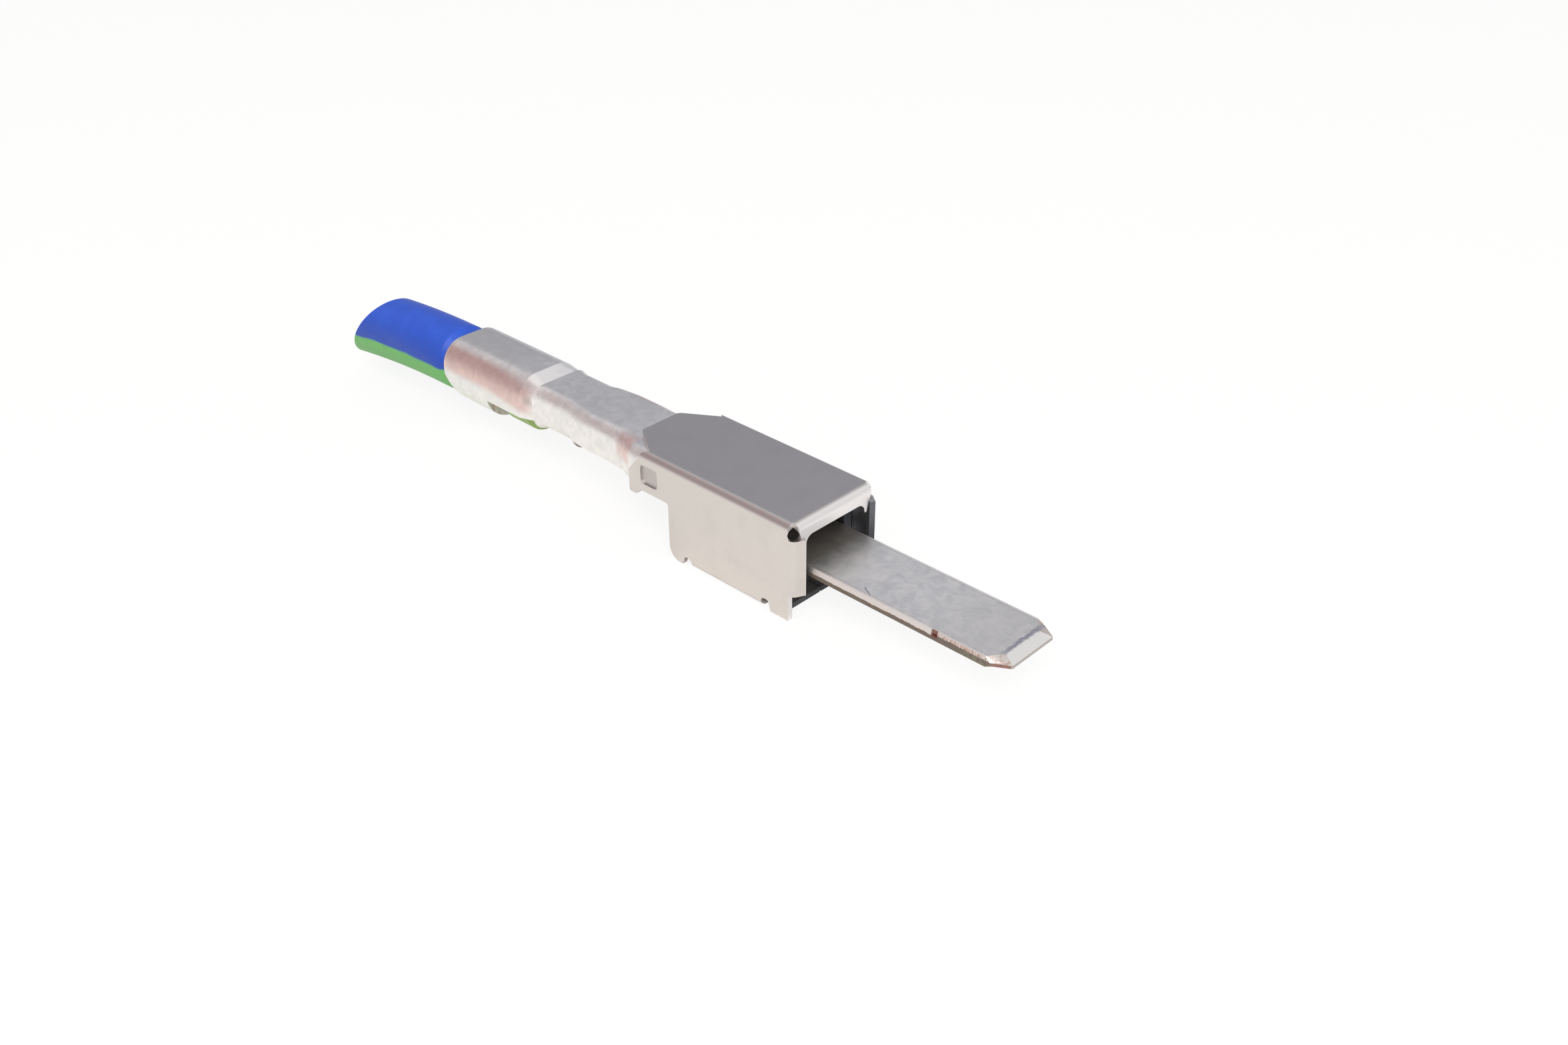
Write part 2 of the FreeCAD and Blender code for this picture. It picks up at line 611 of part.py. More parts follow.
def pressed_core():
    """Strands pressed solid between the crimp's roof and its rolled wings."""
    half_w = CRIMP_MID_Y - STRIP_T / 2 - FIT_GAP
    low = CRIMP_BOTTOM + STRIP_T + FIT_GAP
    high = CONTACT_TOP - STRIP_T - FIT_GAP
    core_r = CORE_D / 2
    mouth = -CRIMP_BACK - MOUTH_LEAD
    stations = [
        (-WIRE_FRONT, core_r, WIRE_Z - core_r, WIRE_Z + core_r, core_r - FLAT),
        (mouth, half_w - MOUTH_SIDE, low + MOUTH_ROUND, high, MOUTH_ROUND),
        (mouth + BELL_L, half_w, low, high, PRESSED_ROUND),
        (-CRIMP_FRONT + FIT_GAP, half_w, low, high, PRESSED_ROUND),
    ]
    pressed = join(chain(stations))
    start = -CRIMP_BACK - FIT_GAP
    wings = Part.Face(crimp_section(start, CRIMP_MID_Y, CRIMP_BOTTOM, CRIMP_BEND, 0.0, FIT_GAP))
    metal = wings.extrude(V(CRIMP_BACK - CRIMP_FRONT + OVER, 0, 0))
    return pressed.cut(metal)


def brush():
    """Strand ends standing out ahead of the crimp, under its roof."""
    pitch = STRAND_D - BRUSH_SQUEEZE
    top = CONTACT_TOP - STRIP_T - FIT_GAP - STRAND_D / 2
    ends = []
    for row, count in enumerate(BRUSH_ROWS):
        for i in range(count):
            y = (i - (count - 1) / 2) * pitch
            reach = CRIMP_FRONT - BARE_FRONT - BRUSH_STEP * ((i + 2 * row) % 3)
            ends.append(strand(-CRIMP_FRONT + FIT_GAP, y, top - row * pitch, reach))
    return ends


def conductor_strands():
    """Bare strands, one by one at both ends and a plain core where the jacket hides them."""
    plain = core_disc(CORE_D / 2)
    fluted_from = WIRE_END - CURVE_START - FLUTED_L
    hidden = swept(plain, 0, fluted_from)
    fluted = cut_off(swept(fluted_core(), fluted_from, CUT_RUN))
    straight = plain.extrude(V(CURVE_START - WIRE_FRONT, 0, 0))
    return join([fluted, hidden, straight, pressed_core()] + brush())


NODES = {
    "box_cover": box_cover,
    "contact": contact,
    "wire_insulation": wire_insulation,
    "conductor_strands": conductor_strands,
}

os.makedirs("parts", exist_ok=True)
for name, make in NODES.items():
    make().exportStep(f"parts/{name}.step")
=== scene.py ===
import math

import bmesh
import bpy
from mathutils import Matrix, Vector


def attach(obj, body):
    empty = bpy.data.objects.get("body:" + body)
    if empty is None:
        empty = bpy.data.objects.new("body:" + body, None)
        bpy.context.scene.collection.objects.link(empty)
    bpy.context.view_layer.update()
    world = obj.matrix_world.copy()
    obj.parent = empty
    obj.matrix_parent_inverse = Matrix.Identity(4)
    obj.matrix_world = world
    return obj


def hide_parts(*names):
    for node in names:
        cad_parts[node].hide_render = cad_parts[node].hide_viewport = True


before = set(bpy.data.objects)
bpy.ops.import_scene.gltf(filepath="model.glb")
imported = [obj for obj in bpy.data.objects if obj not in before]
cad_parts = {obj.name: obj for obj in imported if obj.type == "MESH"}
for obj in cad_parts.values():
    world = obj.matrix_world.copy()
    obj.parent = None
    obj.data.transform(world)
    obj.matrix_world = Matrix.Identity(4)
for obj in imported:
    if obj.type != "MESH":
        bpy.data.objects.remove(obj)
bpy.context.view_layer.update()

MM = 0.001

# Wire and its strands, in millimetres and degrees
STRAND_D = 0.28
STRAND_FILL = 0.98          # a strand's diameter as a share of the strands' spacing
INNER_STRANDS = 6
OUTER_STRANDS = 12
STRAND_FRONT = -14.15
STRAND_STATIONS = 44
LAY_LENGTH = 16.0
PRESSED_BACK = -14.4        # where the pressed strands meet the laid ones
WIRE_AXIS_Z = 2.39
CURVE_START = -20.2
DROOP = 0.35
CUT_X = -25.9
STRAND_BACK = CUT_X + 0.04
CUT_DEPTH = 1.3             # reach of the slanting cut ahead of its rear end
CUT_SLANT = 0.65
CUT_SKEW = 0.19
STRIPE = (-24.0, 90.0)      # green from here to here, turning from straight below to the near side
STRIPE_SOFT = 5.0

# Blade, in millimetres
BLADE_TOP = 2.02
STRIP_T = 0.4
BLADE_W = 2.8
BLADE_L = 8.12
BEVEL_L = 0.4
TIP_CORNER_L = 0.6
TONGUE_X = -2.5             # where the flat blade begins, inside the cover
NICK_X = 5.25
NICK_L = 0.24
BEVEL_X = BLADE_L - BEVEL_L
CORNER_X = BLADE_L - TIP_CORNER_L

# Ends and lower edges of the contact's folded walls, in millimetres
CHANNEL_FRONT = -0.9
CHANNEL_BACK = -5.8
CRIMP_FRONT = -11.95
CRIMP_BACK = -14.2
RAMP_BACK = -14.9
BARREL_FRONT = -16.95
BARREL_BACK = -19.6
WALL_ENDS = (CHANNEL_FRONT, CHANNEL_BACK, CRIMP_FRONT, CRIMP_BACK, BARREL_FRONT, BARREL_BACK)
WALL_LOWS = (0.24, 2.24, 2.18, 2.13)
RAMP_ENDS = (CRIMP_BACK, RAMP_BACK, BARREL_FRONT)

# Cover: ends of its floor, walls and straps, its lip and its pressed pocket, in millimetres
COVER_ENDS = (-0.65, -4.9, -6.0, -8.0)
LIP_BEND_X = (-0.42, -0.25)
FLAP_X = -0.3
POCKET_X = (-7.37, -6.53)
POCKET_Z = (2.51, 3.25)

# Where the tin changes, and where shade and highlights are painted on it, in millimetres
CHANNEL_WALL_Y = 1.42
SHADED_CHANNEL_X = (-6.0, -0.7)
SHADED_ROOT_X = (-2.4, 0.0)
ROOT_SHADE_X = (1.8, -0.3)
DARKER_TOP_BLADE_X = (3.5, 7.0)
DARKER_TOP_NECK_X = (-8.5, -10.0)
DARKER_TOP_BARREL_X = (-15.0, -17.0)
RIM_HIGHLIGHT_Y = (1.27, 1.31)
RIM_LINE_Y = 1.262
SCRATCH_X = (2.2, 2.65)
SCRATCH_AT = (2.4, -1.15)
SCRATCH_SLOPE = 0.6

# Where bends take a copper tone, partly wear and partly painted warm reflection, and where shade is
# painted at the pinch, in millimetres
BARREL_COPPER_X = (-19.7, -14.45)
BARREL_COPPER_Z = 3.15
COPPER_TURN_X = -16.8         # the copper band is level behind here and falls ahead of it
COPPER_FALL = 0.13            # per millimetre
NECK_COPPER_X = (-12.0, -9.4)
SHOULDER_COPPER_X = (-9.25, -8.35)
PINCH_X = (-14.7, -14.35)
PINCH_Z = (2.75, 3.1)

# Where the blade's cut edge changes, in millimetres
DRAG_END_X = (7.7, 7.5)
OLIVE_X = (5.8, 7.0)
RED_CORNER_X = (7.35, 7.75)
RED_CORNER_Y = (-0.9, -1.1)
SMEAR_END_X = (-1.4, -1.1)

# Degrees between faces: below FLAT they are one face, above SHARP or CRISP their edge is sharp
FLAT = 0.4
SHARP = 32.0
CRISP = 8.0

# Metres between corners that are one corner
WELD = 1e-7

# Table and room: sizes in metres, strengths as shares of full white, directions of the darker corners
TABLE_HALF = 0.6
TABLE_DROP = 0.00002
TABLE_GLOW = 0.86
ROOM_LIGHT = 0.62
DARK_SIDE = (-0.726, 0.591, 0.352)
BROWN_SIDE = (-0.584, -0.526, 0.618)
OBJECT_MIDDLE = (-0.006, 0.0, 0.002)

# Camera: its three directions, its place and sensor in millimetres, its lens in pixels of the picture
CAMERA_BACK = (0.58424, -0.61790, 0.52617)
CAMERA_RIGHT = (0.72662, 0.68704, 0.0)
CAMERA_UP = (-0.36150, 0.38233, 0.85038)
CAMERA_PLACE = (-1.7221, 2.5199, 54.74)  # to the right, up and back from the middle
CAMERA_MIDDLE = (0.0, 0.0, 0.1)
SENSOR_W = 36.0
FOCAL_PIXELS = 2404.8
PICTURE_PIXELS = 2352


class Value:
    """A socket; arithmetic on it adds Math nodes to its tree."""

    def __init__(self, maker, socket):
        self.maker = maker
        self.socket = socket

    def math(self, operation, *others):
        values = dict(enumerate((self,) + others))
        return self.maker.add("ShaderNodeMath", {"operation": operation}, values)

    def __add__(self, other):
        return self.math("ADD", other)

    def __radd__(self, other):
        return self.math("ADD", other)

    def __sub__(self, other):
        return self.math("SUBTRACT", other)

    def __rsub__(self, other):
        return (self * -1.0) + other

    def __mul__(self, other):
        return self.math("MULTIPLY", other)

    def __rmul__(self, other):
        return self.math("MULTIPLY", other)

    def __truediv__(self, other):
        return self.math("DIVIDE", other)

    def abs(self):
        return self.math("ABSOLUTE")

    def step(self, low, high):
        """Smooth rise from 0 at low to 1 at high; low may be the larger."""
        values = {0: self, 1: low, 2: high, 3: 0.0, 4: 1.0}
        return self.maker.add("ShaderNodeMapRange", {"interpolation_type": "SMOOTHSTEP"}, values)

    def within(self, low, high, soft):
        """1 between low and high, fading to 0 over soft on each side."""
        return self.step(low - soft, low + soft) * self.step(high + soft, high - soft)


class Tree:
    """Adds nodes to one tree: a material's, a world's or a modifier's."""

    def __init__(self, tree):
        self.tree = tree
        self.tree.nodes.clear()

    def add(self, kind, settings=None, values=None, output=0):
        node = self.tree.nodes.new(kind)
        for key, value in (settings or {}).items():
            setattr(node, key, value)
        for key, value in (values or {}).items():
            self.feed(node.inputs[key], value)
        return Value(self, node.outputs[output]) if node.outputs else None

    def feed(self, socket, value):
        if isinstance(value, Value):
            self.tree.links.new(value.socket, socket)
        else:
            socket.default_value = value

    def mix(self, a, b, factor):
        """Colour between a and b; 6, 7 and 2 are the node's colour sockets."""
        return self.add("ShaderNodeMix", {"data_type": "RGBA"}, {0: factor, 6: a, 7: b}, output=2)

    def parts(self, vector):
        """The x, y and z of a vector, as values."""
        node = self.tree.nodes.new("ShaderNodeSeparateXYZ")
        self.tree.links.new(vector.socket, node.inputs[0])
        return [Value(self, out) for out in node.outputs]

    def vector(self, x, y, z):
        return self.add("ShaderNodeCombineXYZ", None, {0: x, 1: y, 2: z})

    def dot(self, vector, direction):
        values = {0: vector, 1: direction}
        return self.add("ShaderNodeVectorMath", {"operation": "DOT_PRODUCT"}, values, output=1)

    def noise(self, vector, scale, detail=3.0, rough=0.5, distortion=0.0):
        values = {"Vector": vector, "Scale": scale, "Detail": detail}
        values.update({"Roughness": rough, "Distortion": distortion})
        return self.add("ShaderNodeTexNoise", None, values)


class Finish(Tree):
    """One material, with its place in millimetres ready."""

    def __init__(self, name):
        self.material = bpy.data.materials.new(name)
        self.material.use_nodes = True
        super().__init__(self.material.node_tree)
        place = self.add("ShaderNodeTexCoord", output="Object")
        scale = {0: place, 3: 1.0 / MM}
        self.place = self.add("ShaderNodeVectorMath", {"operation": "SCALE"}, scale)
        self.x, self.y, self.z = self.parts(self.place)

    def facing(self):
        """The x, y and z of the object normal, as values."""
        return self.parts(self.add("ShaderNodeTexCoord", output="Normal"))

    def bump(self, height, depth_mm, strength=1.0):
        values = {"Height": height, "Strength": strength, "Distance": depth_mm * MM}
        return self.add("ShaderNodeBump", None, values)

    def surface(self, colour, roughness, metallic, normal, fixed=None):
        values = {"Base Color": colour, "Roughness": roughness, "Metallic": metallic}
        values["Normal"] = normal
        values.update(fixed or {})
        shader = self.add("ShaderNodeBsdfPrincipled", None, values)
        self.add("ShaderNodeOutputMaterial", None, {0: shader})
        return self.material


def plated_steel():
    """Thin nickel-plated sheet: fine rolling streaks over a tight grain, with a painted highlight on the
    lip's bend and painted shade on the flat tops, the long bends, the pressed pocket and the inner faces.
    """
    f = Finish("plated_steel")
    face_x, face_y, face_z = f.facing()
    nx, ny, nz = face_x.abs(), face_y.abs(), face_z.abs()
    across = (f.x + f.z * nx) * 30.0
    along = f.y * (1.0 - ny) + f.z * ny
    streak = f.noise(f.vector(across, along * 1.3, f.z * nx), 1.0, 4.0, 0.62)
    grain = f.noise(f.place, 30.0, 3.0, 0.65)
    cloud = f.noise(f.place, 1.1, 3.0, 0.5)
    colour = f.mix((0.59, 0.562, 0.542, 1), (0.655, 0.622, 0.600, 1), streak)
    dull = cloud.step(0.45, 0.8) * 0.35 + grain.step(0.5, 0.75) * 0.3
    colour = f.mix(colour, (0.52, 0.495, 0.48, 1), dull)
    # Painted highlight on the forward-facing bend of the lip.
    lip = f.x.step(*LIP_BEND_X) * (face_x - nz * 0.2).step(0.1, 0.4) * ny.step(0.35, 0.2)
    colour = f.mix(colour, (0.80, 0.79, 0.81, 1), lip * (0.7 + streak * 0.4))
    # Painted shade on the long bends between the tops and the walls.
    long_bend_shade = nz.within(0.3, 0.8, 0.2) * (1.0 - lip)
    colour = f.mix(colour, (0.45, 0.40, 0.42, 1), long_bend_shade * 0.35)
    # Painted shade on the flat tops.
    flat_top_shade = nz.step(0.9, 0.97)
    colour = f.mix(colour, (0.45, 0.44, 0.465, 1), flat_top_shade * 0.28)
    # Painted shade in the pressed pocket, which is also rougher.
    pocket = f.x.within(*POCKET_X, 0.05) * f.z.within(*POCKET_Z, 0.05)
    colour = f.mix(colour, (0.40, 0.365, 0.365, 1), pocket * 0.5)
    # Painted shade on the faces that look into the cover.
    inward_shade = (face_y * f.y * -1.0).step(0.3, 0.8)
    colour = f.mix(colour, (0.24, 0.26, 0.30, 1), inward_shade * 0.85)
    rough = 0.31 + streak * 0.06 + grain * 0.08 + pocket * 0.12
    relief = grain * 0.4 + streak * 0.35
    return f.surface(colour, rough, 1.0, f.bump(relief, 0.004, 0.5))


def sheared_steel():
    """Cut edge of the cover's sheet: dark and dull."""
    f = Finish("sheared_steel")
    torn = f.noise(f.vector(f.x * 4.0, f.y * 4.0, f.z * 12.0), 1.0, 4.0, 0.6)
    colour = f.mix((0.075, 0.085, 0.10, 1), (0.17, 0.175, 0.19, 1), torn)
    return f.surface(colour, 0.5 + torn * 0.15, 1.0, f.bump(torn, 0.006, 0.6))


def tin_coat(f, face_z, mottle, grain, scuff):
    """Mottled tin, darker on its flat tops toward its ends, with painted shade on the blade's root and a
    painted highlight on the ramp behind the conductor crimp.
    """
    coat = f.mix((0.745, 0.74, 0.745, 1), (0.87, 0.855, 0.84, 1), mottle.step(0.28, 0.72))
    rubbed_off = scuff.step(0.52, 0.75) * 0.3 + grain.step(0.5, 0.72) * 0.3
    coat = f.mix(coat, (0.62, 0.62, 0.64, 1), rubbed_off)
    # Flat tops darker toward the blade's tip, over the neck and over the barrel; on the blade's root by
    # the cover's opening this is painted shade.
    ends = f.x.step(*DARKER_TOP_BLADE_X) * 0.4 + f.x.step(*DARKER_TOP_NECK_X) * 0.3 + f.x.step(*DARKER_TOP_BARREL_X) * 0.35
    root = f.x.step(*ROOT_SHADE_X) * f.x.step(TONGUE_X - 0.5, TONGUE_X)
    coat = f.mix(coat, (0.63, 0.615, 0.60, 1), (ends + root * 0.6) * face_z.step(0.96, 0.99))
    # Painted highlight on the ramp behind the conductor crimp.
    ramp = f.x.within(RAMP_BACK - 0.02, CRIMP_BACK + 0.02, 0.02)
    ramp = ramp * face_z.step(0.985, 0.975) * face_z.step(0.8, 0.9)
    return f.mix(coat, (0.97, 0.955, 0.945, 1), ramp * 0.8)


def tin_shaded_in_cover(f, tin, side, mottle):
    """Tin that lies inside the cover, with painted shade: dark on the channel's walls, shaded on the
    blade's root.
    """
    # Painted shade on the channel's walls inside the cover.
    walls = f.x.within(*SHADED_CHANNEL_X, 0.15) * side.step(CHANNEL_WALL_Y - 0.01, CHANNEL_WALL_Y + 0.01)
    tin = f.mix(tin, (0.16, 0.165, 0.18, 1), walls * 0.9)
    root = f.x.within(*SHADED_ROOT_X, 0.18) * side.step(CHANNEL_WALL_Y + 0.01, CHANNEL_WALL_Y - 0.01)
    return f.mix(tin, (0.60, 0.555, 0.50, 1), root * (0.5 + mottle * 0.5))


def tin_at_tip(f, tin, face_y, face_z, scuff):
    """Bright bevel at the blade's tip, and its corners with tin dragged off."""
    sloped = face_z.step(0.985, 0.97)
    bevel = f.x.step(BEVEL_X - 0.02, BEVEL_X) * sloped
    tin = f.mix(tin, (0.75, 0.745, 0.75, 1), bevel)
    corner = f.x.step(CORNER_X - 0.35, CORNER_X - 0.15) * sloped * face_y.abs().step(0.08, 0.16)
    dragged = f.mix((0.46, 0.35, 0.30, 1), (0.60, 0.565, 0.55, 1), scuff.step(0.38, 0.56))
    return f.mix(tin, dragged, corner)


def copper_wear_and_reflection(f, tin, side, face_z):
    """Copper tone at the barrel's upper bends, the neck's far bend and the shoulders, partly copper
    showing through and partly painted warm reflection, and painted shade at the pinch.
    """
    patchy = f.noise(f.place, 1.5, 5.0, 0.65, 0.5)
    fall = (f.x - COPPER_TURN_X).math("MAXIMUM", 0.0) * COPPER_FALL
    band = (f.z - BARREL_COPPER_Z + fall).abs().step(0.68, 0.3) * face_z.step(0.97, 0.75)
    barrel = f.x.within(*BARREL_COPPER_X, 0.3) * band * (0.3 + patchy * 0.9)
    neck = f.x.within(*NECK_COPPER_X, 0.35) * f.z.step(2.9, 3.15) * f.y.step(0.95, 1.2)
    shoulder = f.x.within(*SHOULDER_COPPER_X, 0.2) * f.z.step(2.5, 2.9) * side.step(0.95, 1.25)
    # Copper tone, partly wear showing copper and partly painted warm reflection.
    wear_and_reflection = barrel + (neck + shoulder) * patchy.step(0.25, 0.6) * 0.8
    copper = f.mix((0.60, 0.38, 0.35, 1), (0.74, 0.53, 0.50, 1), patchy.step(0.35, 0.6))
    colour = f.mix(tin, copper, wear_and_reflection.math("MINIMUM", 0.9))
    # Painted shade at the step where the barrel meets the conductor crimp.
    pinch_shade = f.x.within(*PINCH_X, 0.12) * f.z.within(*PINCH_Z, 0.15) * side.step(0.9, 1.1)
    return f.mix(colour, (0.36, 0.31, 0.31, 1), pinch_shade * 0.6)


def tin_plate():
    """Matt tin over copper alloy: mottled, rubbed along the blade, copper-toned where it was bent, partly
    wear and partly painted warm reflection, with painted shade and painted highlights.
    """
    f = Finish("tin_plate")
    mottle = f.noise(f.place, 2.6, 5.0, 0.6, 0.8)
    grain = f.noise(f.place, 34.0, 3.0, 0.65)
    rubbed = f.noise(f.vector(f.x * 1.6, f.y * 20.0, f.z * 20.0), 1.0, 4.0, 0.6)
    scuff = f.noise(f.vector(f.x * 5.0 - f.y * 2.0, f.y * 4.0 + f.x, f.z), 1.4, 5.0, 0.7)
    ragged = (f.noise(f.place, 5.0, 5.0, 0.75) - 0.5) * 0.4
    side = f.y.abs()
    face_x, face_y, face_z = f.facing()
    colour = tin_coat(f, face_z, mottle, grain, scuff)
    colour = tin_shaded_in_cover(f, colour, side, mottle)

    on_blade = f.x.step(-0.2, 0.1)
    # Painted highlight along the rims of the blade's top.
    colour = f.mix(colour, (0.95, 0.90, 0.89, 1), on_blade * side.step(*RIM_HIGHLIGHT_Y) * 0.55)
    rim_line = on_blade * (side - RIM_LINE_Y).abs().step(0.022, 0.006) * scuff.step(0.3, 0.5)
    colour = f.mix(colour, (0.42, 0.41, 0.42, 1), rim_line * 0.6)
    colour = tin_at_tip(f, colour, face_y, face_z, scuff)
    crease = (f.x - (BEVEL_X - 0.1) + ragged).abs().step(0.15, 0.02) * f.y.step(-1.25, -0.4)
    off_scratch = f.y - SCRATCH_AT[1] + (f.x - SCRATCH_AT[0]) * SCRATCH_SLOPE
    scratch = (off_scratch + ragged * 0.3).abs().step(0.05, 0.01) * f.x.within(*SCRATCH_X, 0.06)
    colour = f.mix(colour, (0.30, 0.31, 0.39, 1), (crease + scratch) * 0.75)
    colour = copper_wear_and_reflection(f, colour, side, face_z)

    rough = 0.36 + mottle * 0.12 + rubbed * 0.06
    relief = mottle * 0.7 + rubbed * 0.45 + grain * 0.5 - (crease + scratch + rim_line) * 1.2
    return f.surface(colour, rough, 1.0, f.bump(relief, 0.008, 0.6))


def fracture_band(f, mottle):
    """Torn lower part of the blade's edge: grey-brown, olive toward the tip, red at the near corner."""
    torn = f.mix((0.15, 0.12, 0.105, 1), (0.26, 0.22, 0.19, 1), mottle)
    olive = f.x.step(*OLIVE_X) * mottle.step(0.35, 0.6)
    torn = f.mix(torn, (0.26, 0.255, 0.19, 1), olive * 0.7)
    red = f.x.step(*RED_CORNER_X) * f.y.step(*RED_CORNER_Y) * mottle.step(0.3, 0.55)
    return f.mix(torn, (0.36, 0.18, 0.16, 1), red * 0.85)


def sheared_edge():
    """Cut edge of the strip: tin smeared over the upper part, bare copper alloy below."""
    f = Finish("sheared_edge")
    ragged = f.noise(f.vector(f.x * 6.0, f.y * 6.0, f.z * 1.2), 1.0, 5.0, 0.75)
    drag = f.noise(f.vector(f.x * 22.0, f.y * 22.0, f.z * 2.5), 1.0, 4.0, 0.65)
    mottle = f.noise(f.place, 8.0, 4.0, 0.6)
    level = (f.z - (BLADE_TOP - STRIP_T)) / STRIP_T + (ragged - 0.5) * 0.28
    past_nick = f.x.step(NICK_X, NICK_X + 0.3)
    burnished = (level - past_nick * 0.16).step(0.46, 0.52)
    top_line = level.step(0.84, 0.95)
    streaks = past_nick * f.x.step(*DRAG_END_X) * drag.step(0.42, 0.54) * (1.0 - top_line * 0.6)
    tin = f.mix((0.60, 0.55, 0.54, 1), (0.72, 0.67, 0.655, 1), drag)
    copper = f.mix((0.38, 0.235, 0.205, 1), (0.54, 0.39, 0.35, 1), mottle)
    blade = f.mix(fracture_band(f, mottle), f.mix(tin, copper, streaks * 0.9), burnished)
    front = f.x.step(BLADE_L - 0.06, BLADE_L - 0.02)
    blade = f.mix(blade, (0.50, 0.47, 0.46, 1), front * 0.85)
    nick = f.x.within(NICK_X, NICK_X + NICK_L, 0.02) * f.y.step(-1.3, -1.34) * level.step(0.3, 0.4)
    blade = f.mix(blade, (0.22, 0.09, 0.075, 1), nick * 0.9)
    smeared = ragged.step(0.34, 0.56) * (0.85 - f.x.step(*SMEAR_END_X) * 0.6)
    other = f.mix(copper, (0.74, 0.725, 0.71, 1), smeared)
    on_blade = f.x.step(TONGUE_X - 0.1, TONGUE_X + 0.1)
    colour = f.mix(other, blade, on_blade)
    rough = 0.42 + (1.0 - burnished) * on_blade * 0.2 + drag * 0.1
    relief = drag * 0.7 + mottle * 0.6 + burnished * on_blade * 1.2
    return f.surface(colour, rough, 1.0, f.bump(relief, 0.01, 0.7))


def copper_wire():
    """Drawn bare copper: bright, with fine draw lines and brown tarnish."""
    f = Finish("copper_wire")
    tarnish = f.noise(f.place, 2.4, 4.0, 0.6)
    lines = f.noise(f.vector(f.x * 1.5, f.y * 40.0, f.z * 40.0), 1.0, 3.0, 0.6)
    bright = f.mix((0.83, 0.44, 0.29, 1), (0.92, 0.56, 0.40, 1), lines)
    colour = f.mix(bright, (0.50, 0.25, 0.16, 1), tarnish.step(0.5, 0.75) * 0.6)
    rough = 0.24 + lines * 0.14 + tarnish * 0.08
    return f.surface(colour, rough, 1.0, f.bump(lines, 0.004, 0.6))


def drop_of_wire(x):
    """How far the middle of the wire hangs at x, as a value."""
    out = (CURVE_START - x).math("MAXIMUM", 0.0) / (CURVE_START - CUT_X)
    return out * out * DROOP


def jacket():
    """Blue insulation with one green stripe co-extruded along its lower near side, the blue darker over
    its lower half as painted shade.
    """
    f = Finish("jacket")
    rise = f.z - WIRE_AXIS_Z + drop_of_wire(f.x)
    turn = (f.y * -1.0).math("ARCTAN2", rise * -1.0) * (180.0 / math.pi)
    ragged = (f.noise(f.vector(f.x * 0.9, f.y * 4.0, f.z * 4.0), 1.0, 3.0, 0.6) - 0.5) * 8.0
    edge = turn + ragged
    stripe = edge.step(STRIPE[0], STRIPE[0] + STRIPE_SOFT) * edge.step(STRIPE[1], STRIPE[1] - STRIPE_SOFT)
    shade = f.noise(f.place, 1.6, 3.0, 0.5)
    speck = f.noise(f.place, 22.0, 3.0, 0.6)
    blue = f.mix((0.016, 0.066, 0.45, 1), (0.028, 0.105, 0.60, 1), shade)
    # Painted shade: the blue darkens over the jacket's lower half.
    blue = f.mix(blue, (0.013, 0.048, 0.31, 1), turn.abs().step(150.0, 95.0) * 0.75)
    green = f.mix((0.10, 0.33, 0.095, 1), (0.15, 0.42, 0.12, 1), shade)
    green = f.mix(green, (0.30, 0.40, 0.13, 1), f.x.step(BARREL_FRONT - 0.25, BARREL_FRONT + 0.35) * 0.8)
    colour = f.mix(f.mix(blue, green, stripe), (0.03, 0.05, 0.2, 1), speck.step(0.66, 0.8) * 0.25)
    drawn = f.noise(f.vector(f.x * 0.5, f.y * 9.0, f.z * 9.0), 1.0, 3.0, 0.5)
    rough = 0.36 + shade * 0.1 + drawn * 0.08
    relief = drawn * 0.8 + shade * 2.0 + speck * 0.25
    return f.surface(colour, rough, 0.0, f.bump(relief, 0.012, 0.6), {"Specular IOR Level": 0.3})


def cut_jacket():
    """Knife-cut end of the insulation: dull, with faint chatter lines."""
    f = Finish("cut_jacket")
    chatter = f.noise(f.vector(f.x * 14.0, f.y * 3.0, f.z * 14.0), 1.0, 3.0, 0.6)
    middle = WIRE_AXIS_Z - DROOP
    below = f.z.step(middle - 0.35, middle - 0.6)
    colour = f.mix((0.035, 0.085, 0.46, 1), (0.06, 0.13, 0.55, 1), chatter)
    colour = f.mix(colour, (0.12, 0.34, 0.11, 1), below)
    return f.surface(colour, 0.6 + chatter * 0.15, 0.0, f.bump(chatter, 0.02, 0.7))


def merged(node):
    """A closed copy of a node's loose triangles, as a bmesh with whole flat faces."""
    mesh = bmesh.new()
    mesh.from_mesh(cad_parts[node].data)
    bmesh.ops.remove_doubles(mesh, verts=mesh.verts, dist=WELD)
    flat = math.radians(FLAT)
    bmesh.ops.dissolve_limit(mesh, angle_limit=flat, verts=mesh.verts, edges=mesh.edges)
    return mesh


def piece(name, mesh, materials, chooser=None, limit=None):
    """Object from a bmesh; chooser gives a face's material, limit the angle of a sharp edge."""
    data = bpy.data.meshes.new(name)
    for face in mesh.faces:
        face.smooth = True
        face.material_index = chooser(face) if chooser else 0
    for edge in mesh.edges:
        angle = math.degrees(edge.calc_face_angle(0.0))
        edge.smooth = angle < (limit(edge) if limit else SHARP)
    mesh.to_mesh(data)
    mesh.free()
    for material in materials:
        data.materials.append(material)
    made = bpy.data.objects.new(name, data)
    bpy.context.scene.collection.objects.link(made)
    flats = made.modifiers.new("flats_stay_flat", "WEIGHTED_NORMAL")
    flats.keep_sharp = True
    flats.weight = 100
    return made


def dressed(node, materials, chooser=None, limit=None):
    """Puts a finished piece in a node's place."""
    made = piece(node + "_dressed", merged(node), materials, chooser, limit)
    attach(made, "root")
    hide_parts(node)


def near(value, places, reach=0.03):
    """Whether a value lies at one of the places."""
    return min(abs(value - place) for place in places) < reach


